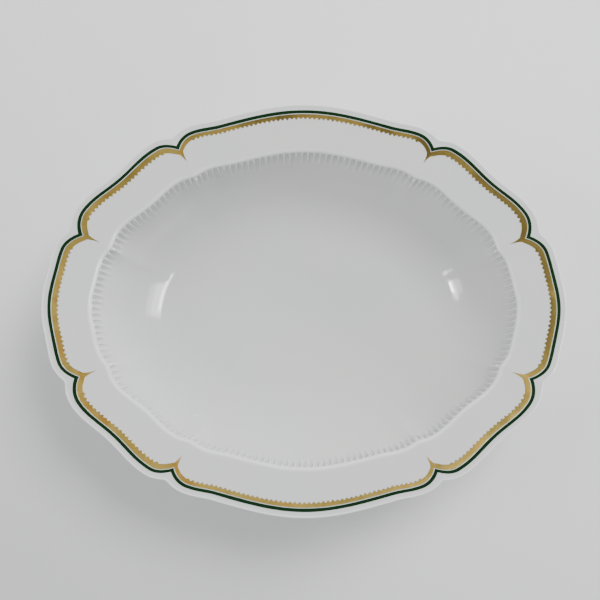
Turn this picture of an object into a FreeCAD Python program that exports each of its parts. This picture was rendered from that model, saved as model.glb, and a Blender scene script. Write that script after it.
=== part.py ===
import FreeCAD, Part
import math
import os

# A deep oval porcelain serving dish with a broad lobed rim, an enamel line and a gilt band.
# Millimetres, +Z up, X along the length. The origin is the middle of the plane it stands on.
# Every level line round the dish is the same lobed oval, set in from the outer edge by an inset.

# Overall size
half_length = 127.0         # outer edge along X
half_width = 100.4          # outer edge along Y
height = 52.0               # standing plane to the top of the lip

# Rim and lip
lip_rise = 0.6              # how far the lip stands above the rim beside it
lip_inset = 1.9             # where the lip begins
# Control points of the lip's rounded section: inset, and height against the top of the lip
lip_section = [(1.4, -0.48), (1.0, 0.04), (0.1, 0.02), (-0.2, -1.4), (0.7, -2.6), (2.2, -3.1)]
rim_slope = 0.08            # rise per millimetre, outward
rim_start = 22.2            # inset where the rim leaves the rounded shoulder
rim_thickness = 2.8
under_rim_radius = 5.0
under_rim_inset = 8.0       # where the underside starts to run alongside the rim's upper face

# Well
wall_inset = 24.0           # inset where the wall stands upright
floor_inset = 66.0          # inset of the flat floor's edge
floor_top = 9.0
shoulder_drop = 1.4         # rounded step from the rim down to the wall
wall_thickness = 3.4
well_turns = [6, 15, 30, 45, 60, 75, 90]   # degrees round the quarter ellipse of the wall
outer_turns = [75, 60, 45, 30]

# Foot
foot_height = 5.0
foot_outer = 57.0           # inset of its outer face at the top
foot_width = 3.6
foot_taper = 0.7            # each face leans in by this much
foot_edge = 0.6             # small chamfer at the bearing edge
foot_flat = 3.0             # level ledge of the underside, outside the foot

# Decoration fired onto the rim
film = 0.12                 # how far the enamel and the gold stand up
line_inset = 4.0            # middle of the enamel line
line_width = 1.5
gap_width = 0.6             # bare porcelain between the line and the gold
gilt_width = 1.95           # solid gold and half the depth of its tooth edge

# Outline of the dish in its first quadrant, by the angle used in x = a cos, y = b sin.
# Each pair is an angle and how far the outline has dropped inside a true oval, as a fraction.
crests_and_dips = [(0.0, 0.0), (10.5, 0.0065), (16.6, 0.0037), (28.8, 0.0018), (41.0, 0.0250),
                   (53.6, 0.0026), (62.7, 0.0055), (70.0, 0.0200), (90.0, 0.0)]
cusps = [22.0, 57.75]       # where two lobes meet in a sharp notch
cusp_reach = [(5.4, 6.8), (4.15, 5.0)]   # degrees that each notch spreads, before and after it
cusp_depth = 0.0425

# How strongly each level line shows the notches; the enamel line's middle is 1
edge_notch = 0.42
line_outer_notch = 0.93
line_inner_notch = 1.07
gilt_outer_notch = 1.12
gilt_inner_notch = 1.25
well_notch = 0.30
spur_depth = 0.030          # the gold's pointed spur at each cusp, as a fraction like the notches
spur_reach = 2.4            # degrees it spreads to either side

columns_per_degree = 0.5


def flattening(angle):
    """The slow drop between crests and dips, eased by half a cosine wave."""
    for (start, low), (end, high) in zip(crests_and_dips, crests_and_dips[1:]):
        if start <= angle <= end:
            part = (angle - start) / (end - start)
            return low + (high - low) * (1 - math.cos(math.pi * part)) / 2
    raise ValueError("angle outside the quadrant")


def notching(angle):
    """The sharp drop into each cusp: a parabola on either side that ends level."""
    drop = 0.0
    for cusp, (before, after) in zip(cusps, cusp_reach):
        reach = before if angle < cusp else after
        drop += cusp_depth * max(0.0, 1 - abs(angle - cusp) / reach) ** 2
    return drop


def spurring(angle):
    """The narrow pointed spur at each cusp: a steeper parabola on either side."""
    nearest = min(abs(angle - cusp) for cusp in cusps)
    return spur_depth * max(0.0, 1 - nearest / spur_reach) ** 2


def lobe_point(angle, inset, z, flat, notch, spur):
    """A point of the lobed oval at one angle, in degrees, and one level."""
    quadrant = angle % 180
    quadrant = min(quadrant, 180 - quadrant)
    scale = 1 - flat * flattening(quadrant) - notch * notching(quadrant) - spur * spurring(quadrant)
    turn = math.radians(angle)
    x = (half_length - inset) * scale * math.cos(turn)
    y = (half_width - inset) * scale * math.sin(turn)
    return FreeCAD.Vector(x, y, z)


def control_angles(start, end):
    """Angles of one lobe's control points, closer at its two ends, as a clamped cubic needs."""
    spans = max(8, round((end - start) * columns_per_degree))
    places = [0, 1 / 3] + list(range(1, spans)) + [spans - 1 / 3, spans]
    return [start + (end - start) * place / spans for place in places]


def all_lobes():
    """The eight lobes, from one cusp to the next."""
    first = cusps + [180 - cusp for cusp in reversed(cusps)]
    starts = first + [180 + cusp for cusp in first]
    ends = starts[1:] + [starts[0] + 360]
    return [control_angles(start, end) for start, end in zip(starts, ends)]


lobes = all_lobes()


def ring(inset, z, flat=1.0, notch=0.0, spur=0.0):
    """A closed level line, as one row of control points for each lobe."""
    return [[lobe_point(angle, inset, z, flat, notch, spur) for angle in lobe] for lobe in lobes]


def clamped(count, degree):
    """Knots and multiplicities of a clamped uniform spline."""
    spans = count - degree
    knots = [float(place) for place in range(spans + 1)]
    multiplicities = [degree + 1] + [1] * (spans - 1) + [degree + 1]
    return knots, multiplicities


def strip(rings):
    """Faces that join rings in order, one for each lobe: straight across two, smooth across more."""
    degree = min(3, len(rings) - 1)
    across_knots, across_mults = clamped(len(rings), degree)
    faces = []
    for rows in zip(*rings):
        along_knots, along_mults = clamped(len(rows[0]), 3)
        surface = Part.BSplineSurface()
        surface.buildFromPolesMultsKnots(list(rows), across_mults, along_mults,
                                         across_knots, along_knots, False, False, degree, 3)
        faces.append(surface.toShape())
    return faces


def loop(one_ring):
    """The wire along a ring."""
    edges = []
    for row in one_ring:
        knots, multiplicities = clamped(len(row), 3)
        curve = Part.BSplineCurve()
        curve.buildFromPolesMultsKnots(row, multiplicities, knots, False, 3)
        edges.append(curve.toShape())
    return Part.Wire(edges)


def level_face(outer, inner=None):
    """A flat face inside a ring, or between two rings."""
    wires = [loop(outer)]
    if inner:
        wires.append(loop(inner))
    return Part.makeFace(wires, "Part::FaceMakerBullseye")


def solid(faces):
    """A closed solid sewn from faces."""
    shell = Part.Shell(faces)
    shell.sewShape()
    made = Part.Solid(shell)
    if made.Volume < 0:
        made.reverse()
    return made


def lifted(one_ring, rise):
    """The same ring moved straight up."""
    up = FreeCAD.Vector(0, 0, rise)
    return [[point + up for point in row] for row in one_ring]


def rim_level(inset):
    """Height of the rim's upper face at an inset."""
    return height - lip_rise - rim_slope * (inset - lip_inset)


def rim_ring(inset, notch, spur=0.0):
    """A ring that lies on the rim's upper face."""
    return ring(inset, rim_level(inset), 1.0, notch, spur)


# Rings on the rim, shared by the porcelain and by what is fired onto it
line_outer = line_inset - line_width / 2
line_inner = line_inset + line_width / 2
gilt_outer = line_inner + gap_width
gilt_inner = gilt_outer + gilt_width
rim_rings = [rim_ring(rim_start, well_notch), rim_ring(gilt_inner, gilt_inner_notch, 1.0),
             rim_ring(gilt_outer, gilt_outer_notch), rim_ring(line_inner, line_inner_notch),
             rim_ring(line_outer, line_outer_notch), rim_ring(lip_inset, edge_notch)]
start_ring, gilt_inner_ring, gilt_outer_ring, line_inner_ring, line_outer_ring, lip_ring = rim_rings

# Where the rim's underside turns down into the bowl's outer wall
under_level = rim_level(rim_start) - rim_thickness
under_ring = ring(wall_inset - wall_thickness - under_rim_radius, under_level, 1.0, well_notch)


def wall_rings(thickness, turns):
    """Rings of the curved wall: a quarter ellipse in section, moved out by the thickness."""
    reach = floor_inset - wall_inset
    rise = rim_level(rim_start) - shoulder_drop - floor_top
    rings = []
    for turn in turns:
        bend = math.radians(turn)
        out = rise * math.sin(bend)
        down = reach * math.cos(bend)
        size = math.hypot(out, down)
        inset = floor_inset - reach * math.sin(bend) - thickness * out / size
        z = floor_top + rise * (1 - math.cos(bend)) - thickness * down / size
        fade = math.sin(bend) ** 2
        rings.append(ring(inset, z, fade, well_notch * fade))
    return rings


def bowl():
    """Glazed porcelain: floor, wall and rounded shoulder, out to where the rim begins."""
    floor_ring = ring(floor_inset, floor_top, 0.0)
    inside = [floor_ring] + wall_rings(0, well_turns)
    inside += [ring(wall_inset, rim_level(rim_start), 1.0, well_notch), start_ring]

    outer_wall = wall_inset - wall_thickness
    base_ring = ring(foot_outer, foot_height, 0.0)
    outside = [under_ring,
               ring(outer_wall, under_level, 1.0, well_notch),
               ring(outer_wall, under_level - under_rim_radius, 1.0, well_notch)]
    outside += wall_rings(wall_thickness, outer_turns)
    outside += [ring(foot_outer - foot_flat, foot_height, 0.0), base_ring]

    faces = strip(inside) + strip([start_ring, under_ring]) + strip(outside)
    return solid(faces + [level_face(floor_ring), level_face(base_ring)])


def rim():
    """Glazed porcelain: the broad lobed rim and its rounded lip, one casting with the bowl."""
    edge = [lip_ring]
    edge += [ring(inset, height + drop, 1.0, edge_notch) for inset, drop in lip_section]
    edge += [ring(under_rim_inset, rim_level(under_rim_inset) - rim_thickness, 1.0, edge_notch),
             under_ring]
    faces = strip(edge) + strip([start_ring, under_ring])
    for inner, outer in zip(rim_rings, rim_rings[1:]):
        faces += strip([inner, outer])
    return solid(faces)


def foot_ring():
    """The unglazed oval foot that the dish stands on."""
    inner = foot_outer + foot_width
    top_outer = ring(foot_outer, foot_height, 0.0)
    side_outer = ring(foot_outer + foot_taper, foot_edge, 0.0)
    base_outer = ring(foot_outer + foot_taper + foot_edge, 0.0, 0.0)
    base_inner = ring(inner - foot_taper - foot_edge, 0.0, 0.0)
    side_inner = ring(inner - foot_taper, foot_edge, 0.0)
    top_inner = ring(inner, foot_height, 0.0)
    faces = [level_face(top_outer, top_inner), level_face(base_outer, base_inner)]
    section = [top_outer, side_outer, base_outer]
    for upper, lower in zip(section, section[1:]):
        faces += strip([upper, lower])
    section = [top_inner, side_inner, base_inner]
    for upper, lower in zip(section, section[1:]):
        faces += strip([upper, lower])
    return solid(faces)


def fired_band(outer, inner):
    """A thin band lying on the rim between two of its rings."""
    top_outer = lifted(outer, film)
    top_inner = lifted(inner, film)
    faces = strip([outer, inner]) + strip([top_outer, top_inner])
    faces += strip([outer, top_outer]) + strip([inner, top_inner])
    return solid(faces)


pieces = {
    "bowl": bowl(),
    "rim": rim(),
    "foot_ring": foot_ring(),
    "green_line": fired_band(line_outer_ring, line_inner_ring),
    "gilt_band": fired_band(gilt_outer_ring, gilt_inner_ring),
}

os.makedirs("parts", exist_ok=True)
for name, shape in pieces.items():
    shape.exportStep("parts/" + name + ".step")
    box = shape.BoundBox
    print(f"{name}: valid {shape.isValid()}, faces {len(shape.Faces)}, volume {shape.Volume:.0f} mm3,"
          f" x {box.XLength:.2f} y {box.YLength:.2f} z {box.ZMin:.2f}..{box.ZMax:.2f}")
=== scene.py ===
import bpy
import numpy as np
from mathutils import Matrix, Vector


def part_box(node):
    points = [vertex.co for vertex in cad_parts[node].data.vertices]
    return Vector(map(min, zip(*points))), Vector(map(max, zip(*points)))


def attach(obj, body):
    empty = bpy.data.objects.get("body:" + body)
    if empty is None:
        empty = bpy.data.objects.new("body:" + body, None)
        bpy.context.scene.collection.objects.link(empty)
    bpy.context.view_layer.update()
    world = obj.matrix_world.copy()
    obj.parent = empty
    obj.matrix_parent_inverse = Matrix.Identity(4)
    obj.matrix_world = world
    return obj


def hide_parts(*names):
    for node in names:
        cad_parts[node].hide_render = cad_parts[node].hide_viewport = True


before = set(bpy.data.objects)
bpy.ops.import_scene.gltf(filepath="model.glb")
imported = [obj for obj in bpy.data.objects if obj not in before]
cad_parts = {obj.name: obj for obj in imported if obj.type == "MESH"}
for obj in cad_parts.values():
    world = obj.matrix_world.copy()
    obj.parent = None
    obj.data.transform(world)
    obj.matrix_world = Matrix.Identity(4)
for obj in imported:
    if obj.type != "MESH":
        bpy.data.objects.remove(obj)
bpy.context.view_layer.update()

# Oval porcelain serving dish: lobed rim, fluted well, green enamel line, gilt border with teeth.
# Metres, X along the length, Z up. Every level line is one lobed oval, set in from the edge by an inset.

halfLength, halfWidth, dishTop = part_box("rim")[1]
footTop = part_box("foot_ring")[1].z
mm = 0.001
print("frame loaded, dish", round(2 * halfLength / mm, 1), "by", round(2 * halfWidth / mm, 1), "mm")


outline = {
    "turnAngles": [0.0, 10.5, 16.6, 28.8, 41.0, 53.6, 62.7, 70.0, 90.0],  # crests and dips of a quarter
    "turnDrops": [0.0, 0.0065, 0.0037, 0.0018, 0.0250, 0.0026, 0.0055, 0.0200, 0.0],
    "cuspAngles": [22.0, 57.75],      # where two lobes meet in a notch
    "reachBefore": [5.4, 4.15],       # degrees that a notch spreads
    "reachAfter": [6.8, 5.0],
    "cuspDepth": 0.0425,
    "crisp": 1e-6,                    # softness, in degrees, of a notch with a sharp tip
    "fineness": 800,                  # points for measuring a lobe's length
}


def foldAngle(angle):
    # all four quarters mirror each other, so any angle is brought back into 0 to 90
    folded = np.mod(angle, 180.0)
    return np.minimum(folded, 180.0 - folded)


def slowDrop(angle):
    # between one crest or dip and the next, the drop eases over by half a cosine wave
    folded = foldAngle(angle)
    places = np.array(outline["turnAngles"])
    drops = np.array(outline["turnDrops"])
    span = np.clip(np.searchsorted(places, folded, side="right") - 1, 0, len(places) - 2)
    part = (folded - places[span]) / (places[span + 1] - places[span])
    return drops[span] + (drops[span + 1] - drops[span]) * (1 - np.cos(np.pi * part)) / 2


def cuspDrop(angle, softness):
    # a parabola on each side of the cusp that ends level, its tip rounded over softness degrees
    folded = foldAngle(angle)
    drop = 0.0
    sides = zip(outline["cuspAngles"], outline["reachBefore"], outline["reachAfter"])
    for cusp, before, after in sides:
        away = folded - cusp
        rounded = np.sqrt(away ** 2 + softness ** 2)
        lean = 0.5 + 0.5 * away / rounded
        reach = before + (after - before) * lean
        drop = drop + outline["cuspDepth"] * np.clip(1 - rounded / reach, 0, None) ** 2
    return drop


def ovalXY(angle, inset, flat, notch, softness):
    # x = a cos, y = b sin, both half axes less the inset, drawn in by the slow drop and the notches
    scale = 1 - flat * slowDrop(angle) - notch * cuspDrop(angle, softness)
    turn = np.radians(angle)
    return (halfLength - inset) * scale * np.cos(turn), (halfWidth - inset) * scale * np.sin(turn)


def lobeEnds():
    # cusp angles in order round the dish, and where each lobe that starts there ends
    quarter = outline["cuspAngles"]
    half = quarter + [180 - cusp for cusp in reversed(quarter)]
    starts = half + [180 + cusp for cusp in half]
    return list(zip(starts, starts[1:] + [starts[0] + 360]))


def arcAngles(start, end, inset, flat, notch, parts):
    # angles that cut one lobe of a level line at given parts of its length, and that whole length
    fine = np.linspace(start, end, outline["fineness"])
    x, y = ovalXY(fine, inset, flat, notch, outline["crisp"])
    length = np.concatenate([[0], np.cumsum(np.hypot(np.diff(x), np.diff(y)))])
    return np.interp(parts * length[-1], length, fine), length[-1]


def smoothRun(points, count):
    # a curve through all the points: each span is a cubic whose slopes follow the neighbours
    points = np.asarray(points, float)
    padded = np.concatenate([2 * points[:1] - points[1:2], points, 2 * points[-1:] - points[-2:-1]])
    place = np.linspace(0, len(points) - 1, count)
    span = np.clip(place.astype(int), 0, len(points) - 2)
    u = (place - span)[:, None]
    p0, p1, p2, p3 = (padded[span + k] for k in range(4))
    slope1, slope2 = (p2 - p0) / 2, (p3 - p1) / 2
    return ((2 * u ** 3 - 3 * u ** 2 + 1) * p1 + (u ** 3 - 2 * u ** 2 + u) * slope1
            + (3 * u ** 2 - 2 * u ** 3) * p2 + (u ** 3 - u ** 2) * slope2)


def smoothStep(value):
    # 0 below 0, 1 above 1, an even S between
    value = np.clip(value, 0, 1)
    return value * value * (3 - 2 * value)


def meshPiece(name, vertices, faceSets):
    # vertices is an n by 3 array; each face set is an array of rows of 3, 4 or 5 vertex numbers
    mesh = bpy.data.meshes.new(name)
    corners = np.concatenate([faces.ravel() for faces in faceSets]).astype(np.int32)
    sizes = np.concatenate([np.full(len(faces), faces.shape[1]) for faces in faceSets])
    starts = np.concatenate([[0], np.cumsum(sizes)[:-1]]).astype(np.int32)
    mesh.vertices.add(len(vertices))
    mesh.vertices.foreach_set("co", np.asarray(vertices, np.float32).ravel())
    mesh.loops.add(len(corners))
    mesh.loops.foreach_set("vertex_index", corners)
    mesh.polygons.add(len(sizes))
    mesh.polygons.foreach_set("loop_start", starts)
    mesh.polygons.foreach_set("use_smooth", np.ones(len(sizes), bool))
    mesh.update(calc_edges=True)
    mesh.validate()
    piece = bpy.data.objects.new(name, mesh)
    bpy.context.scene.collection.objects.link(piece)
    return piece


def bandFaces(lower, upper):
    # quads between two closed rows of vertex numbers, or five-sided faces where one has twice as many
    if len(lower) == len(upper):
        return np.stack([lower, np.roll(lower, -1), np.roll(upper, -1), upper], 1)
    if len(upper) == 2 * len(lower):
        return np.stack([lower, np.roll(lower, -1), np.roll(upper, -2)[::2], upper[1::2], upper[::2]], 1)
    return np.stack([lower[::2], lower[1::2], np.roll(lower, -2)[::2], np.roll(upper, -1), upper], 1)


def closedLoft(name, rows, firstPole, lastPole):
    # rows of points, each closed round the dish, joined in order and ended in a point at both poles
    vertices = np.concatenate([[firstPole]] + rows + [[lastPole]])
    numbers, used = [], 1
    for row in rows:
        numbers.append(np.arange(used, used + len(row)))
        used += len(row)
    quads = {4: [], 5: []}
    for lower, upper in zip(numbers, numbers[1:]):
        faces = bandFaces(lower, upper)
        quads[faces.shape[1]].append(faces)
    first, last = numbers[0], numbers[-1]
    fans = [np.stack([np.zeros(len(first), int), np.roll(first, -1), first], 1),
            np.stack([np.full(len(last), used), last, np.roll(last, -1)], 1)]
    sets = [np.concatenate(kind) for kind in quads.values() if kind]
    return meshPiece(name, vertices, sets + fans)


def closedTube(name, grid, along=None, across=None):
    # a grid closed both ways: columns round the dish, rows round the section. Where along and across are
    # given, the UV map holds them: metres round the dish, and 0 to 1 over the section
    columns, rows = grid.shape[:2]
    number = np.arange(columns * rows).reshape(columns, rows)
    ahead = np.roll(number, -1, 0)
    faces = np.stack([number, ahead, np.roll(ahead, -1, 1), np.roll(number, -1, 1)], 2)
    piece = meshPiece(name, grid.reshape(-1, 3), [faces.reshape(-1, 4)])
    if along is not None:
        here, there = along[:-1], along[1:]
        u = np.stack([here, there, there, here], 1)[:, None].repeat(rows, 1)
        v = np.stack([across, across, np.roll(across, -1), np.roll(across, -1)], 1)[None].repeat(columns, 0)
        uvMap = piece.data.uv_layers.new(name="alongAcross")
        uvMap.data.foreach_set("uv", np.stack([u, v], 3).astype(np.float32).ravel())
    return piece


porcelain = {
    "rimStart": 21.3 * mm,        # inset where the shoulder has become the rim
    "rimSlope": 0.08,             # rise of the rim, outward
    "rimHollow": 0.12 * mm,       # how far the rim's middle sinks below a straight slope
    "lipInset": 1.9 * mm,
    "lipRise": 0.42 * mm,
    "edgeNotch": 0.60,            # how strongly the outer edge shows the notches
    "edgeSoftness": 0.45,         # rounding of their tips, in degrees
    "wellNotch": 0.38,            # the same two at the edge of the well
    "wellSoftness": 0.8,
    "wallInset": 23.7 * mm,       # inset where the wall stands upright
    "floorInset": 66.0 * mm,
    "floorTop": 9.0 * mm,
    "floorSag": 0.25 * mm,        # how far the floor sinks to its middle
    "shoulderDrop": 1.6 * mm,     # height of the rounded step between rim and wall
    "wallThickness": 3.4 * mm,
    "rimThickness": 2.8 * mm,
    "underRimRadius": 5.0 * mm,
    "lipHighlight": (0.4 * mm, 0.9 * mm),  # painted highlight on the lip, full to the first inset, fades over the second
    "footOuter": 57.0 * mm,
    "footFlat": 3.0 * mm,         # width of the ledge round the foot
    "footFillet": [(-1.2, 0.35, 0.5), (0.6, 0.05, 0.8)],  # inset past the ledge and rise in mm, painted shade in the corner above the foot
    "middle": (0.09, 0.12),       # size of the innermost oval of the floor and of the base
    "floorRows": 8,               # mesh rows in each zone
    "wallRows": (14, 9),          # smooth part of the inner wall, and the outer wall
    "rimRows": 12,
    "lipRows": 19,
    "underRimRows": 6,
    "baseRows": 6,
    "smoothWall": [4, 62],        # turns of the wall, in degrees: 0 at the floor and 90 upright
    "finerWall": [65.5, 68.0],
    "fluteEnd": 69,
    "outerWall": [73, 30],
    "shoulderTurns": [18, 36, 54, 72],
    "cornerTurns": [22, 45, 68, 90],
    "thinTurn": 0.9,              # where on the shoulder the painted highlight is strongest, in radians
    "thinSpread": 2.4,            # the bigger, the narrower that zone
}

flutes = {
    "pitch": 3.08 * mm,           # along the well's edge
    "columns": 10,                # mesh columns in each flute; the next two lists are made for this many
    "overCove": [0, 0.35, 0.7, 1, 1, 1],    # a column's place, from a cove's middle to its edge
    "overRidge": [0, 0, 0, 0, 0.45, 1],     # and from there to the ridge's middle
    "evenEdge": 0.3,              # where that edge is drawn at both ends of a cove, as a part of the pitch
    "rows": 19,                   # mesh rows down the fluted wall
    "crowding": 1.6,              # above 1, the rows crowd toward the top
    "start": 0.1 * mm,            # a cove's head, below the top of the wall
    "headRound": 0.9 * mm,        # depth over which the head opens
    "length": 13.0 * mm,          # down the wall
    "depth": 0.85 * mm,           # of a cove, just under its head
    "depthFade": 0.75,            # below 1, it keeps its depth for longer on the way down
    "coveShape": 0.8,             # below 1, a flatter bottom
    "ridgeShape": 0.6,            # below 1, a broader ridge
    "proud": 1.0 * mm,            # how far a ridge leans out over the wall
    "proudPeak": 0.6,             # below 1, it leans out most nearer the top
    "proudFade": 0.4,
    "headWidth": 0.25,            # half width as a part of the pitch, under the head and at the end
    "endWidth": 0.37,
    "unevenness": 0.13,           # of the coves' lengths and depths
    "notchNarrow": 0.80,          # the coves beside a notch are narrower
    "notchProud": 0.9 * mm,       # the ridge at a notch stands out of the wall
    "notchSpread": 0.30,          # half width of that ridge, as a part of the pitch
    "notchLength": 15.0 * mm,
    "seed": 11,
}

# Section of the lip, from the rim's upper face round the edge to its underside.
# Inset in mm and height in mm over the rim's level there
lipSection = [(3.4, 0.0), (2.6, -0.03), (1.9, -0.02), (1.3, 0.03), (0.75, 0.13), (0.30, 0.18), (0.05, -0.12),
              (0.0, -0.65), (0.12, -1.36), (0.55, -2.0), (1.4, -2.40), (3.0, -2.68)]


def rimLevel(inset):
    # a straight slope to the lip, less a shallow hollow between the shoulder and the lip
    rise = porcelain["rimSlope"] * (inset - porcelain["lipInset"])
    across = np.clip((inset - porcelain["lipInset"]) / (porcelain["rimStart"] - porcelain["lipInset"]), 0, 1)
    return dishTop - porcelain["lipRise"] - rise - porcelain["rimHollow"] * np.sin(np.pi * across) ** 2


def rimNotch(inset):
    # the notches grow evenly from the well's edge to the outer edge, as they grow sharper
    across = np.clip(1 - inset / porcelain["rimStart"], 0, 1)
    notch = porcelain["wellNotch"] + (porcelain["edgeNotch"] - porcelain["wellNotch"]) * across
    softness = porcelain["wellSoftness"] + (porcelain["edgeSoftness"] - porcelain["wellSoftness"]) * across
    return notch, softness


def rimHeightAt(x, y):
    # height of the rim's upper face over any point: its inset is found by closing in on it
    inset = np.full(x.shape, 6 * mm)
    for step in range(8):
        angle = np.degrees(np.arctan2(y / (halfWidth - inset), x / (halfLength - inset)))
        notch, softness = rimNotch(inset)
        onRingX, onRingY = ovalXY(angle, inset, 1.0, notch, softness)
        inset = inset + np.hypot(onRingX, onRingY) - np.hypot(x, y)
    return rimLevel(inset)


def fluteTrack():
    # angle against place along the well's edge, counted in flutes; each lobe holds a whole number of them.
    # notches holds the places where two lobes meet
    places, angles, notches, count = [], [], [], 0
    parts = np.linspace(0, 1, 200)[:-1]
    for start, end in lobeEnds():
        found, whole = arcAngles(start, end, porcelain["wallInset"], 1, porcelain["wellNotch"], parts)
        number = round(whole / flutes["pitch"])
        places.append(count + parts * number)
        angles.append(found)
        notches.append(count)
        count += number
    places.append([count])
    angles.append([lobeEnds()[0][0] + 360])
    return np.concatenate(places), np.concatenate(angles), np.array(notches), count


def fluteRelief(below, place, notches, count):
    # A cove is hollowed into the wall between two ridges that lean out from the shoulder and fall back.
    # The cove's head is a quarter round; it widens downward as it fades out, so the ridges taper to points.
    # The columns are drawn to the coves' edges. Gives the moved places and how far the wall stands out,
    # for each row (below) and column (place)
    rng = np.random.default_rng(flutes["seed"])
    uneven = flutes["unevenness"]
    flute = np.floor(place + 1e-6).astype(int)
    length = (flutes["length"] * rng.uniform(1 - uneven, 1 + uneven, count))[flute]
    deepest = (flutes["depth"] * rng.uniform(1 - uneven, 1 + uneven, count))[flute]
    narrow = np.ones(count)
    narrow[notches] = narrow[notches - 1] = flutes["notchNarrow"]

    under = below[:, None] - flutes["start"]
    head = np.sqrt(1 - (1 - np.clip(under / flutes["headRound"], 0, 1)) ** 2)
    down = np.clip(under / length, 0, 1)
    widening = (flutes["endWidth"] - flutes["headWidth"]) * down
    width = narrow[flute] * (flutes["headWidth"] * head + widening) + 1e-4
    depth = deepest * head * (1 - down) ** flutes["depthFade"]

    # columns: evenly spread at both ends of a cove, and drawn to its edges between
    column = np.round(np.abs(place - flute - 0.5) * flutes["columns"]).astype(int)
    overCove = np.array(flutes["overCove"])[column]
    overRidge = np.array(flutes["overRidge"])[column]
    settle = smoothStep(down / 0.15) * (1 - smoothStep((down - 0.8) / 0.2))
    edge = flutes["evenEdge"] + (width - flutes["evenEdge"]) * settle
    away = overCove * edge + overRidge * (0.5 - edge)
    moved = flute + 0.5 + np.sign(place - flute - 0.5) * away

    # a rounded hollow within the edges, a rounded ridge beyond, and a bigger ridge at each notch
    hollow = depth * np.clip(1 - (away / width) ** 2, 0, 1) ** flutes["coveShape"]
    ridge = smoothStep((away - width) / (0.5 - width)) ** flutes["ridgeShape"]
    lean = flutes["proud"] * np.sin(np.pi * down ** flutes["proudPeak"]) * (1 - flutes["proudFade"] * down)
    toNotch = np.abs((moved[..., None] - notches + count / 2) % count - count / 2).min(-1)
    fall = np.clip(under / flutes["notchLength"], 0, 1)
    crest = flutes["notchProud"] * smoothStep(fall / 0.12) * (1 - fall)
    crest = crest * np.exp(-(toNotch / flutes["notchSpread"]) ** 2)
    return moved, crest + lean * ridge - hollow


def wallSection(turns, thickness):
    # quarter ellipse from the floor's edge up to the upright wall, moved out square by the thickness
    reach = porcelain["floorInset"] - porcelain["wallInset"]
    rise = rimLevel(porcelain["rimStart"]) - porcelain["shoulderDrop"] - porcelain["floorTop"]
    bend = np.radians(turns)
    out, down = rise * np.sin(bend), reach * np.cos(bend)
    size = np.hypot(out, down)
    inset = porcelain["floorInset"] - reach * np.sin(bend) - thickness * out / size
    height = porcelain["floorTop"] + rise * (1 - np.cos(bend)) - thickness * down / size
    return inset, height, np.sin(bend) ** 2, out / size, down / size


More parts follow.
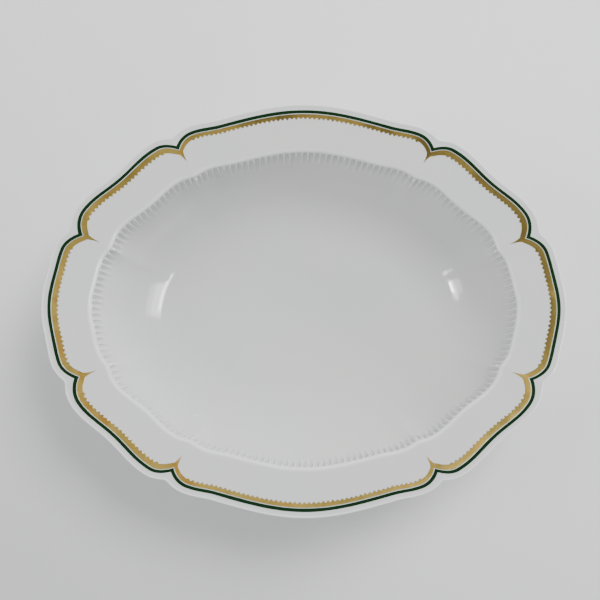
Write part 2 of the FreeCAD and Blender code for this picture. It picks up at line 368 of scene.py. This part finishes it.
def makePorcelain():
    # closed rows of points from the middle of the floor up the wall, over the rim and lip, and back under it
    # to the middle of the base. Rows get more columns where the flutes are. Each point keeps a painted tone,
    # above 0 for painted shade in the coves and above the foot, below 0 for a painted highlight
    trackPlaces, trackAngles, notches, count = fluteTrack()
    place = np.arange(count * flutes["columns"]) / flutes["columns"]
    angles = np.interp(place, trackPlaces, trackAngles)
    half, quarter = angles[::2], angles[::4]
    rows, depths = [], []

    def addRow(columns, inset, height, flat, notch, softness, shrink=1.0, glaze=0.0):
        # one closed line of the surface, as a lobed oval at a height; glaze is its painted tone, painted
        # shade above 0 and painted highlight below 0
        x, y = ovalXY(columns, inset, flat, notch, softness)
        rows.append(np.stack([x * shrink, y * shrink, np.broadcast_to(height, x.shape)], 1))
        depths.append(np.broadcast_to(glaze, x.shape))

    floorEdge, floorTop = porcelain["floorInset"], porcelain["floorTop"]
    wellNotch, wellSoftness = porcelain["wellNotch"], porcelain["wellSoftness"]

    # floor: level ovals with a faint sag to the middle
    for shrink in np.linspace(porcelain["middle"][0], 1, porcelain["floorRows"]):
        addRow(quarter, floorEdge, floorTop - porcelain["floorSag"] * (1 - shrink ** 2), 0, 0, 1, shrink)

    # smooth part of the wall
    innerTurns = np.linspace(*porcelain["smoothWall"], porcelain["wallRows"][0])
    for inset, height, fade, out, down in zip(*wallSection(innerTurns, 0)):
        addRow(quarter, inset, height, fade, wellNotch * fade, wellSoftness)
    for inset, height, fade, out, down in zip(*wallSection(np.array(porcelain["finerWall"]), 0)):
        addRow(half, inset, height, fade, wellNotch * fade, wellSoftness)

    # fluted part of the wall
    turns = 90 - (90 - porcelain["fluteEnd"]) * np.linspace(1, 0, flutes["rows"]) ** flutes["crowding"]
    inset, height, fade, out, down = wallSection(turns, 0)
    moved, relief = fluteRelief(height[-1] - height, place, notches, count)
    bent = np.interp(moved, trackPlaces, trackAngles)
    # coves take painted shade and ridge crests a painted highlight, through the glaze value
    for k in range(len(turns)):
        addRow(bent[k], inset[k] + relief[k] * out[k], height[k] + relief[k] * down[k],
               fade[k], wellNotch * fade[k], wellSoftness, glaze=np.clip(-relief[k] / flutes["depth"], -1, 1))

    # rounded shoulder from the upright wall to the rim; a painted highlight runs along its middle
    across = porcelain["wallInset"] - porcelain["rimStart"]
    for turn in np.radians(porcelain["shoulderTurns"]):
        thin = np.clip(np.cos(porcelain["thinSpread"] * (turn - porcelain["thinTurn"])), 0, 1) ** 2
        addRow(angles, porcelain["wallInset"] - across * (1 - np.cos(turn)),
               rimLevel(porcelain["rimStart"]) - porcelain["shoulderDrop"] * (1 - np.sin(turn)),
               1, wellNotch, wellSoftness, glaze=-thin)

    # rim, out to the lip
    lipStart = lipSection[0][0] * mm
    for inset in np.linspace(porcelain["rimStart"], lipStart, porcelain["rimRows"])[:-1]:
        notch, softness = rimNotch(inset)
        addRow(half, inset, rimLevel(inset), 1, notch, softness)

    # lip, round the edge to the underside; a painted highlight lies on its crown
    for inset, over in smoothRun(lipSection, porcelain["lipRows"]) * mm:
        inset = max(inset, 0)
        notch, softness = rimNotch(inset)
        crown = smoothStep((over + 1.1 * mm) / (1.0 * mm))
        thin = crown * (1 - smoothStep((inset - porcelain["lipHighlight"][0]) / porcelain["lipHighlight"][1]))
        addRow(half, inset, rimLevel(inset) + over, 1, notch, softness, glaze=-thin)

    # underside of the rim
    outerWall = porcelain["wallInset"] - porcelain["wallThickness"]
    radius = porcelain["underRimRadius"]
    underLevel = rimLevel(porcelain["rimStart"]) - porcelain["rimThickness"]
    for inset in np.linspace(4.5 * mm, outerWall - radius, porcelain["underRimRows"]):
        notch, softness = rimNotch(inset)
        addRow(quarter, inset, rimLevel(inset) - porcelain["rimThickness"], 1, notch, softness)

    # rounded corner under the rim, then the outer wall down to the foot
    for turn in np.radians(porcelain["cornerTurns"]):
        addRow(quarter, outerWall - radius + radius * np.sin(turn), underLevel - radius * (1 - np.cos(turn)),
               1, wellNotch, wellSoftness)
    outerTurns = np.linspace(*porcelain["outerWall"], porcelain["wallRows"][1])
    for inset, height, fade, out, down in zip(*wallSection(outerTurns, porcelain["wallThickness"])):
        addRow(quarter, inset, height, fade, wellNotch * fade, wellSoftness)
    ledge = porcelain["footOuter"] - porcelain["footFlat"]
    # painted shade where the outer wall meets the foot
    for past, over, paintedShade in porcelain["footFillet"]:
        addRow(quarter, ledge + past * mm, footTop + over * mm, 0, 0, 1, glaze=paintedShade)

    # base inside the foot
    for shrink in np.linspace(1, porcelain["middle"][1], porcelain["baseRows"]):
        addRow(quarter, porcelain["footOuter"], footTop, 0, 0, 1, shrink)

    dish = closedLoft("porcelainDish", rows, (0, 0, floorTop - porcelain["floorSag"]), (0, 0, footTop))
    paintedShadeHighlight = dish.data.attributes.new("paintedShadeHighlight", "FLOAT", "POINT")
    paintedShadeHighlight.data.foreach_set("value", np.concatenate([[0]] + depths + [[0]]).astype(np.float32))
    return dish


footRing = {
    # section: inset and height in mm, from the top of its outer face round to the inner one
    "section": [(57.0, 5.1), (57.25, 3.4), (57.5, 1.7), (57.75, 0.75), (58.15, 0.18), (58.6, 0.0),
                (59.0, 0.0), (59.45, 0.18), (59.85, 0.75), (60.1, 1.7), (60.35, 3.4), (60.6, 5.1)],
    "rows": 30,
    "columns": 480,
}


def makeFoot():
    # the section carried round a plain oval
    section = smoothRun(footRing["section"], footRing["rows"]) * mm
    angle = np.linspace(0, 360, footRing["columns"], endpoint=False)[:, None]
    x, y = ovalXY(angle, section[None, :, 0], 0, 0, 1)
    height = np.broadcast_to(np.maximum(section[None, :, 1], 0), x.shape)
    return closedTube("footRing", np.stack([x, y, height], 2))


enamel = {
    "inset": 3.75 * mm,           # middle of the line
    "width": 1.62 * mm,
    "film": 0.11 * mm,            # height over the glaze
    "wander": 0.03,               # how much the width of the brush line varies
    "spacing": 0.45 * mm,         # of the mesh columns
}

gilding = {
    "gap": 0.32 * mm,             # bare porcelain between the line and the gold
    "longBand": 1.6 * mm,         # solid gold on the two long sides
    "endBand": 2.3 * mm,          # and on the other lobes
    "tooth": 1.1 * mm,            # depth of a tooth
    "toothPitch": 2.3 * mm,
    "columns": 10,                # mesh columns in each tooth
    "plain": 9.0 * mm,            # untoothed gold to either side of a notch
    "plainExtra": 0.5 * mm,       # how much wider it is there
    "plainFade": 3.0 * mm,        # length over which that ends
    "cornerBand": 1.7 * mm,       # where two lobes meet
    "cornerFade": 3.2 * mm,
    "cornerColumns": 25,          # mesh columns in each plain stretch
    "spurs": [4.4 * mm, 3.4 * mm],  # length at the end lobes' notches, and at the long sides' notches
    "spurReach": 2.4 * mm,        # half width of a spur's foot
    "film": 0.07 * mm,
    "unevenness": 0.16,           # of the teeth's depths
    "seed": 5,
}

# A level line keeps its distance from the enamel line round a notch when its own notch is deeper,
# by this much for each metre inward
notchPerInset = 88.0


def layBand(name, angle, outer, inner, film):
    # a ribbon between two distances in from the enamel's middle: a flat film over the rim with rounded
    # edges, closed below by a bottom just under the glaze
    across = np.array([0, 0, 0.012, 0.06, 0.35, 0.65, 0.94, 0.988, 1, 1])
    over = np.array([-0.6, 0.55, 0.82, 0.95, 1, 1, 0.95, 0.82, 0.55, -0.6]) * film
    inward = outer[:, None] + (inner - outer)[:, None] * across[None]
    x, y = ovalXY(angle[:, None], enamel["inset"] + inward, 1, 1 + notchPerInset * inward, outline["crisp"])
    closed = np.append(np.arange(len(angle)), 0)
    along = np.concatenate([[0], np.cumsum(np.hypot(np.diff(x[closed, 0]), np.diff(y[closed, 0])))])
    return closedTube(name, np.stack([x, y, rimHeightAt(x, y) + over[None]], 2), along, across)


def makeEnamel():
    # a brush line of nearly even width: three sine waves round the dish widen and narrow it
    angles = []
    for start, end in lobeEnds():
        whole = arcAngles(start, end, enamel["inset"], 1, 1, np.array([0.0]))[1]
        number = round(whole / enamel["spacing"])
        angles.append(arcAngles(start, end, enamel["inset"], 1, 1, np.arange(number) / number)[0])
    angle = np.concatenate(angles)
    turn = np.radians(angle)
    wander = np.sin(7 * turn + 1) + 0.6 * np.sin(23 * turn) + 0.4 * np.sin(41 * turn + 2)
    half = enamel["width"] / 2 * (1 + enamel["wander"] * wander)
    return layBand("greenLine", angle, -half, half, enamel["film"])


def makeGilding():
    # teeth: a saw of even triangles, their depth a little uneven; none near a notch, where the
    # gold narrows and then runs out in a spur shaped like a thorn
    rng = np.random.default_rng(gilding["seed"])
    outerEdge = enamel["width"] / 2 + gilding["gap"]
    plain = gilding["plain"]
    angles, inner = [], []
    for start, end in lobeEnds():
        whole = arcAngles(start, end, enamel["inset"] + outerEdge, 1, 1.1, np.array([0.0]))[1]
        onLongSide = abs(np.sin(np.radians((start + end) / 2))) > 0.99
        solid = gilding["longBand"] if onLongSide else gilding["endBand"]
        number = round((whole - 2 * plain) / gilding["toothPitch"])
        place = np.arange(number * gilding["columns"]) / gilding["columns"]
        steps = gilding["cornerColumns"] + 1
        corner = np.linspace(0, 1, steps)[:-1] ** 1.3
        along = np.concatenate([corner * plain, plain + place / number * (whole - 2 * plain),
                                whole - np.linspace(1, 0, steps)[:-1] ** 1.3 * plain])
        angles.append(arcAngles(start, end, enamel["inset"] + outerEdge, 1, 1.1, along / whole)[0])

        depths = rng.uniform(1 - gilding["unevenness"], 1 + gilding["unevenness"], number)
        saw = (1 - np.abs(2 * (place % 1) - 1)) ** 0.9 * depths[place.astype(int)] * gilding["tooth"]
        toCusp = np.minimum(along, whole - along)
        teeth = np.zeros(len(along))
        teeth[len(corner):len(corner) + len(place)] = saw
        plainness = 1 - smoothStep((toCusp - plain * 0.9) / gilding["plainFade"])
        band = solid + gilding["plainExtra"] * plainness
        band = band - (band - gilding["cornerBand"]) * (1 - smoothStep(toCusp / gilding["cornerFade"]))
        teeth = np.minimum(teeth, solid + gilding["tooth"] - band + 0.3 * mm)

        spur = 0.0
        for cusp, away in ((start, along), (end, whole - along)):
            longest = gilding["spurs"][0 if abs(np.sin(np.radians(cusp))) < 0.6 else 1]
            spur = spur + longest * np.clip(1 - away / gilding["spurReach"], 0, 1) ** 2.2
        inner.append(outerEdge + band + teeth + spur)
    angle = np.concatenate(angles)
    inner = np.concatenate(inner)
    return layBand("giltBorder", angle, np.full(angle.shape, outerEdge), inner, gilding["film"])


dish = makePorcelain()
foot = makeFoot()
line = makeEnamel()
border = makeGilding()
for piece in (dish, foot, line, border):
    piece.data.calc_loop_triangles()
    print("made", piece.name, "with", len(piece.data.loop_triangles), "triangles")

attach(dish, "root")
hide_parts("bowl", "rim")
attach(foot, "root")
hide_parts("foot_ring")
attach(line, "root")
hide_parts("green_line")
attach(border, "root")
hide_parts("gilt_band")


def newMaterial(name, settings):
    # a Principled surface with its constant values set straight on its sockets
    material = bpy.data.materials.new(name)
    material.use_nodes = True
    shader = material.node_tree.nodes["Principled BSDF"]
    for socket, value in settings.items():
        shader.inputs[socket].default_value = value
    return material, material.node_tree, shader


def addNode(tree, kind, sources=(), **settings):
    # sources pairs an input's name or number with an output to link or a value to set
    node = tree.nodes.new(kind)
    for key, value in settings.items():
        setattr(node, key, value)
    for key, value in dict(sources).items():
        if isinstance(value, bpy.types.NodeSocket):
            tree.links.new(value, node.inputs[key])
        else:
            node.inputs[key].default_value = value
    return node


def ease(tree, value, low, high, toLow=0.0, toHigh=1.0):
    # runs evenly from toLow to toHigh while the value goes from low to high, and holds beyond
    node = addNode(tree, "ShaderNodeMapRange", {0: value, 1: low, 2: high, 3: toLow, 4: toHigh})
    return node.outputs[0]


def calculate(tree, operation, first, second=0.0):
    # one sum on two numbers or outputs
    return addNode(tree, "ShaderNodeMath", {0: first, 1: second}, operation=operation).outputs[0]


def blendColours(tree, amount, first, second):
    # first colour where the amount is 0, second where it is 1
    node = addNode(tree, "ShaderNodeMix", {0: amount, 6: first, 7: second}, data_type="RGBA")
    return node.outputs[2]


def cloudiness(tree, where, scale, detail=2.0, roughness=0.5):
    # soft random patches; the scale is in patches for each unit of the coordinates
    node = addNode(tree, "ShaderNodeTexNoise", {"Vector": where, "Scale": scale, "Detail": detail,
                                                "Roughness": roughness})
    return node.outputs[0]


def stretch(tree, where, scale, turn=(0, 0, 0)):
    # scales and turns coordinates
    return addNode(tree, "ShaderNodeMapping", {"Vector": where, "Scale": scale, "Rotation": turn}).outputs[0]


def slope(tree, where, direction):
    # a value that rises evenly along a direction: the coordinates times it, summed
    node = addNode(tree, "ShaderNodeVectorMath", {0: where, 1: direction}, operation="DOT_PRODUCT")
    return node.outputs["Value"]


def objectPlace(tree):
    # metres in the part's own frame
    return addNode(tree, "ShaderNodeTexCoord").outputs["Object"]


def bandPlace(tree):
    # metres along a band in X, and 0 to 1 across it in Y
    return addNode(tree, "ShaderNodeUVMap", uv_map="alongAcross").outputs[0]


glaze = {
    "coolWhite": (0.720, 0.742, 0.732, 1),
    "warmWhite": (0.750, 0.755, 0.738, 1),
    "drift": 18.0,                          # patches of the two whites, to a metre
    "paintedShade": (0.635, 0.67, 0.655, 1),      # painted shade in the flute coves and in the corner above the foot
    "thin": (0.95, 0.955, 0.94, 1),         # painted highlight over the lip, the shoulder and the ridges
    "speck": (0.30, 0.26, 0.21, 1),
    "speckCells": 150.0,                    # cells to a metre
    "speckSize": (0.016, 0.030),            # full out to the first, gone by the second
    "speckless": 0.984,                     # this share of the cells has no speck
    "speckStrength": 0.7,
    "marks": (45, 2600, 45),                # cutlery marks to a metre, on each axis before turning
    "markTurns": (0.5, 2.1),                # radians
    "markHeights": (0.0095, 0.0135),        # metres over which they fade out up the wall
    "markDullness": 0.05,                   # added to the roughness
    "waves": 85.0,                          # gentle waves of the glaze, to a metre
    "peel": 900.0,                          # its fine orange peel
    "relief": 0.030 * mm,
    "smooth": 0.055,                        # roughness, least and most
    "dull": 0.105,
    "dullPatches": 30.0,                    # to a metre
}


def glazedPorcelain():
    # a glossy white body under a thin clear coat
    material, tree, shader = newMaterial("glazedPorcelain", {
        "IOR": 1.5, "Subsurface Weight": 0.12, "Subsurface Radius": (0.6, 0.5, 0.45),
        "Subsurface Scale": 0.003, "Coat Weight": 0.3, "Coat Roughness": 0.04})
    where = objectPlace(tree)

    # white that drifts between cool and warm, darker under the painted shade in the coves, whiter under the
    # painted highlight on the lip, the shoulder and the ridges
    drift = ease(tree, cloudiness(tree, where, glaze["drift"], 3), 0.35, 0.65)
    body = blendColours(tree, drift, glaze["coolWhite"], glaze["warmWhite"])
    # painted tone laid on the mesh: painted shade above 0, painted highlight below 0
    depth = addNode(tree, "ShaderNodeAttribute", attribute_name="paintedShadeHighlight").outputs["Fac"]
    body = blendColours(tree, ease(tree, depth, 0, 1), body, glaze["paintedShade"])
    body = blendColours(tree, ease(tree, depth, 0, -1), body, glaze["thin"])

    # iron specks: round dots in a few of the cells
    cells = addNode(tree, "ShaderNodeTexVoronoi", {"Vector": where, "Scale": glaze["speckCells"]})
    dot = ease(tree, cells.outputs["Distance"], *glaze["speckSize"], 1, 0)
    chosen = addNode(tree, "ShaderNodeSeparateColor", {0: cells.outputs["Color"]}).outputs[0]
    dot = calculate(tree, "MULTIPLY", dot, calculate(tree, "GREATER_THAN", chosen, glaze["speckless"]))
    dot = calculate(tree, "MULTIPLY", dot, glaze["speckStrength"])
    body = blendColours(tree, dot, body, glaze["speck"])
    tree.links.new(body, shader.inputs["Base Color"])

    # fine cutlery marks on the floor of the well, in two directions
    high = addNode(tree, "ShaderNodeSeparateXYZ", {0: where}).outputs[2]
    onFloor = ease(tree, high, *glaze["markHeights"], 1, 0)
    marks = 0.0
    for turn in glaze["markTurns"]:
        lines = cloudiness(tree, stretch(tree, where, glaze["marks"], (0, 0, turn)), 1, 2)
        marks = calculate(tree, "ADD", ease(tree, lines, 0.66, 0.74), marks)
    marks = calculate(tree, "MULTIPLY", marks, onFloor)
    patches = cloudiness(tree, where, glaze["dullPatches"], 3)
    sheen = ease(tree, patches, 0.3, 0.7, glaze["smooth"], glaze["dull"])
    sheen = calculate(tree, "ADD", sheen, calculate(tree, "MULTIPLY", marks, glaze["markDullness"]))
    tree.links.new(sheen, shader.inputs["Roughness"])

    waves = cloudiness(tree, where, glaze["waves"], 1)
    peel = calculate(tree, "MULTIPLY", cloudiness(tree, where, glaze["peel"], 1), 0.05)
    height = calculate(tree, "ADD", waves, peel)
    relief = addNode(tree, "ShaderNodeBump", {"Height": height, "Distance": glaze["relief"]})
    tree.links.new(relief.outputs[0], shader.inputs["Normal"])
    return material


clay = {
    "bare": (0.60, 0.565, 0.51, 1),
    "pale": (0.68, 0.645, 0.59, 1),         # its paler grains
    "scuffed": (0.36, 0.34, 0.32, 1),
    "glazeLine": 1.3 * mm,                  # height where the glaze begins
    "lineWander": 0.5 * mm,
    "grain": 2600.0,                        # grains to a metre
    "grainRelief": 0.03 * mm,
    "roughness": (0.82, 0.09),              # bare and glazed
    "scuffs": 260.0,                        # to a metre
    "scuffHeights": (0.25 * mm, 0.05 * mm),  # none above the first, full below the second
}


def bareClay():
    # unglazed where the foot bears, glazed above an uneven line
    material, tree, shader = newMaterial("footClay", {"IOR": 1.5})
    where = objectPlace(tree)
    high = addNode(tree, "ShaderNodeSeparateXYZ", {0: where}).outputs[2]
    wander = calculate(tree, "MULTIPLY", cloudiness(tree, where, 150, 3), clay["lineWander"])
    line = calculate(tree, "ADD", high, wander)
    start = clay["glazeLine"] + clay["lineWander"] / 2
    glazed = ease(tree, line, start - 0.08 * mm, start + 0.08 * mm)
    grain = cloudiness(tree, where, clay["grain"], 4, 0.6)
    body = blendColours(tree, ease(tree, grain, 0.3, 0.7), clay["bare"], clay["pale"])
    bearing = ease(tree, high, *clay["scuffHeights"])
    scuffs = ease(tree, cloudiness(tree, where, clay["scuffs"], 5, 0.7), 0.52, 0.68)
    body = blendColours(tree, calculate(tree, "MULTIPLY", scuffs, bearing), body, clay["scuffed"])
    body = blendColours(tree, glazed, body, glaze["coolWhite"])
    tree.links.new(body, shader.inputs["Base Color"])
    tree.links.new(ease(tree, glazed, 0, 1, *clay["roughness"]), shader.inputs["Roughness"])
    rough = calculate(tree, "MULTIPLY", grain, calculate(tree, "SUBTRACT", 1.0, glazed))
    relief = addNode(tree, "ShaderNodeBump", {"Height": rough, "Distance": clay["grainRelief"]})
    tree.links.new(relief.outputs[0], shader.inputs["Normal"])
    return material


greenPaint = {
    "full": (0.0015, 0.018, 0.0025, 1),
    "lean": (0.003, 0.034, 0.008, 1),       # where the brush ran lean
    "edge": (0.012, 0.110, 0.040, 1),       # thin paint along both edges
    "roughness": 0.14,
    "specular": 0.2,
    "coat": 0.06,
    "streaks": (160, 5, 1),                 # to a metre along the line, and across its width
    "raggedness": (900, 2, 1),
    "relief": 0.012 * mm,
}


def edgeOf(tree, band, start):
    # 0 in the middle of a band, rising to 1 at both edges from the given part of its half width
    across = addNode(tree, "ShaderNodeSeparateXYZ", {0: band}).outputs[1]
    away = calculate(tree, "ABSOLUTE", calculate(tree, "SUBTRACT", across, 0.5))
    return ease(tree, away, start / 2, 0.5)


def greenEnamel():
    # dark paint with lean streaks along the line, thin and ragged at both edges
    material, tree, shader = newMaterial("greenEnamel", {
        "Specular IOR Level": greenPaint["specular"], "Roughness": greenPaint["roughness"],
        "Coat Weight": greenPaint["coat"], "Coat Roughness": 0.06})
    band = bandPlace(tree)
    streaks = cloudiness(tree, stretch(tree, band, greenPaint["streaks"]), 1, 4, 0.6)
    body = blendColours(tree, ease(tree, streaks, 0.4, 0.75), greenPaint["full"], greenPaint["lean"])
    tatters = ease(tree, cloudiness(tree, stretch(tree, band, greenPaint["raggedness"]), 1, 2), 0.3, 0.6)
    ragged = calculate(tree, "MULTIPLY", edgeOf(tree, band, 0.8), tatters)
    body = blendColours(tree, ragged, body, greenPaint["edge"])
    tree.links.new(body, shader.inputs["Base Color"])
    relief = addNode(tree, "ShaderNodeBump", {"Height": streaks, "Distance": greenPaint["relief"]})
    tree.links.new(relief.outputs[0], shader.inputs["Normal"])
    return material


gold = {
    "deep": (0.170, 0.126, 0.035, 1),
    "bright": (0.66, 0.475, 0.115, 1),
    "patches": 45.0,                        # patches of tone, to a metre
    "copper": (0.52, 0.27, 0.050, 1),       # redder blushes
    "blushes": 85.0,                        # to a metre
    "blushStrength": 0.75,
    "brown": (0.17, 0.095, 0.022, 1),       # where the gilding is thin or soiled
    "paintedShadeSlope": (3.2, 3.0, 0),                  # painted shade: the tone deepens this way, towards +X and +Y, by so much for each metre
    "burnished": 0.26,                      # roughness, least and most
    "matt": 0.46,
    "streaks": (420, 14, 1),                # to a metre along the band, and across its width
    "wear": 800.0,                          # worn spots, to a metre
    "grain": 3000.0,
    "relief": 0.008 * mm,
}


def firedGold():
    # fired gilding: patches of tone, painted shade deepening towards +X and +Y, redder blushes, burnishing
    # streaks along the band, and brown wear at both of its edges
    material, tree, shader = newMaterial("firedGold", {"Metallic": 1.0})
    where, band = objectPlace(tree), bandPlace(tree)
    patches = ease(tree, cloudiness(tree, where, gold["patches"], 4, 0.6), 0.36, 0.66)
    # painted shade: the gold darkens evenly towards +X and +Y
    paintedShadeSlope = slope(tree, where, gold["paintedShadeSlope"])
    tone = calculate(tree, "SUBTRACT", calculate(tree, "MULTIPLY", patches, 0.6), paintedShadeSlope)
    body = blendColours(tree, ease(tree, tone, -0.25, 0.75), gold["deep"], gold["bright"])
    blush = ease(tree, cloudiness(tree, where, gold["blushes"], 3, 0.6), 0.46, 0.60, 0, gold["blushStrength"])
    body = blendColours(tree, calculate(tree, "MULTIPLY", blush, tone), body, gold["copper"])
    streaks = cloudiness(tree, stretch(tree, band, gold["streaks"]), 1, 3, 0.6)
    worn = calculate(tree, "MULTIPLY", edgeOf(tree, band, 0.55),
                     ease(tree, cloudiness(tree, where, gold["wear"], 3, 0.7), 0.48, 0.68))
    body = blendColours(tree, calculate(tree, "MULTIPLY", worn, 0.7), body, gold["brown"])
    tree.links.new(body, shader.inputs["Base Color"])
    burnish = ease(tree, streaks, 0.3, 0.75, gold["burnished"], gold["matt"])
    tree.links.new(burnish, shader.inputs["Roughness"])
    grain = calculate(tree, "ADD", streaks, cloudiness(tree, where, gold["grain"], 2))
    relief = addNode(tree, "ShaderNodeBump", {"Height": grain, "Distance": gold["relief"]})
    tree.links.new(relief.outputs[0], shader.inputs["Normal"])
    return material


table = {
    "grey": (0.78, 0.78, 0.785, 1),
    "white": (0.99, 0.988, 0.984, 1),
    "paintedLightSlope": (1.5, 2.4, 0),               # painted light: it whitens this way, towards the windows, by so much for each metre
    "clouds": 6.0,                          # to a metre
    "cloudStrength": 0.4,
    "tooth": 1200.0,
    "relief": 0.02 * mm,
}


def paleTable():
    # smooth pale board with painted light, paler towards the windows' corner, with a faint cloudy tone and a
    # fine tooth
    material, tree, shader = newMaterial("paleTable", {"Specular IOR Level": 0.0})
    where = objectPlace(tree)
    clouds = calculate(tree, "MULTIPLY", cloudiness(tree, where, table["clouds"], 3), table["cloudStrength"])
    # painted light: the board whitens towards the windows
    tone = calculate(tree, "ADD", clouds, slope(tree, where, table["paintedLightSlope"]))
    body = blendColours(tree, ease(tree, tone, -0.35, 0.65), table["grey"], table["white"])
    tree.links.new(body, shader.inputs["Base Color"])
    tooth = cloudiness(tree, where, table["tooth"], 3)
    tree.links.new(ease(tree, tooth, 0.3, 0.7, 0.5, 0.65), shader.inputs["Roughness"])
    relief = addNode(tree, "ShaderNodeBump", {"Height": tooth, "Distance": table["relief"]})
    tree.links.new(relief.outputs[0], shader.inputs["Normal"])
    return material


dish.data.materials.append(glazedPorcelain())
foot.data.materials.append(bareClay())
line.data.materials.append(greenEnamel())
border.data.materials.append(firedGold())
print("materials made")


studio = {
    "distance": 0.43478,          # metres from the camera to the rim
    "shiftX": 0.00241,            # and sideways
    "shiftY": -0.00316,
    "tiltX": -5.77,               # degrees
    "tiltY": 0.80,
    "roll": -0.19,
    "lens": 54.0,                 # mm, on a sensor 36 mm wide
    "worldColour": (0.97, 0.98, 1.0, 1),
    "worldStrength": 0.56,
    "floorReach": 2.0,            # metres from the middle to each side
}


def makeCamera():
    # looks straight down, then turned about X, Y and Z; its place is the distance and the shifts, turned back
    camera = bpy.data.objects.new("camera", bpy.data.cameras.new("camera"))
    camera.data.lens = studio["lens"]
    camera.data.sensor_width = 36
    turn = (Matrix.Rotation(np.radians(studio["tiltX"]), 3, "X")
            @ Matrix.Rotation(np.radians(studio["tiltY"]), 3, "Y")
            @ Matrix.Rotation(np.radians(studio["roll"]), 3, "Z"))
    back = turn.transposed()
    offset = Vector((-studio["shiftX"], -studio["shiftY"], studio["distance"]))
    place = back @ offset + Vector((0, 0, rimLevel(enamel["inset"])))
    camera.matrix_world = Matrix.Translation(place) @ back.to_4x4()
    bpy.context.scene.collection.objects.link(camera)
    bpy.context.scene.camera = camera


lamps = {
    # place, width and height in metres, power in watts. The windows and the fill light the dish and are not
    # seen in the glaze; the softboxes and the low strips light nothing and are only seen in it
    "windowHigh": {"place": (0.50, 0.60, 1.20), "size": (0.6, 0.6), "power": 13.0, "seen": False},
    "windowLow": {"place": (1.10, 1.10, 0.55), "size": (0.6, 0.6), "power": 16.0, "seen": False},
    "leftFill": {"place": (-1.10, 0.0, 0.90), "size": (0.6, 0.6), "power": 5.0, "seen": False},
    "rightSoftboxWide": {"place": (0.64, -0.04, 0.92), "size": (0.42, 0.42), "power": 2.4, "lights": False},
    "rightSoftbox": {"place": (0.55, -0.06, 0.92), "size": (0.38, 0.26), "power": 1.8, "lights": False},
    "rightSoftboxCore": {"place": (0.45, -0.09, 0.95), "size": (0.32, 0.08), "power": 1.5, "lights": False},
    "leftSoftboxWide": {"place": (-0.90, -0.33, 0.92), "size": (0.28, 0.34), "power": 1.6, "lights": False},
    "leftSoftbox": {"place": (-0.74, -0.25, 0.92), "size": (0.30, 0.16), "power": 1.5, "lights": False},
    "leftSoftboxCore": {"place": (-0.70, -0.25, 0.94), "size": (0.15, 0.06), "power": 2.2, "lights": False},
    "stripRight": {"place": (1.30, 0.10, 0.13), "size": (1.30, 0.12), "power": 22.0, "lights": False},
    "stripLeft": {"place": (-1.30, 0.0, 0.13), "size": (1.00, 0.12), "power": 9.0, "lights": False},
}


def makeLamp(name, facts):
    # a soft rectangle that faces the dish, its width level
    lamp = bpy.data.lights.new(name, "AREA")
    lamp.shape = "RECTANGLE"
    lamp.size, lamp.size_y = facts["size"]
    lamp.energy = facts["power"]
    holder = bpy.data.objects.new(name, lamp)
    holder.location = facts["place"]
    holder.rotation_euler = (-Vector(facts["place"])).to_track_quat("-Z", "Y").to_euler()
    holder.visible_camera = False
    holder.visible_glossy = facts.get("seen", True)
    holder.visible_diffuse = facts.get("lights", True)
    bpy.context.scene.collection.objects.link(holder)


makeCamera()
for name, facts in lamps.items():
    makeLamp(name, facts)

world = bpy.data.worlds.new("studio")
world.use_nodes = True
background = world.node_tree.nodes["Background"]
background.inputs["Color"].default_value = studio["worldColour"]
background.inputs["Strength"].default_value = studio["worldStrength"]
bpy.context.scene.world = world

floorCorners = np.array([[-1, -1, 0], [1, -1, 0], [1, 1, 0], [-1, 1, 0]]) * studio["floorReach"]
floor = meshPiece("floor", floorCorners, [np.array([[0, 1, 2, 3]])])
floor.data.materials.append(paleTable())
print("studio ready")
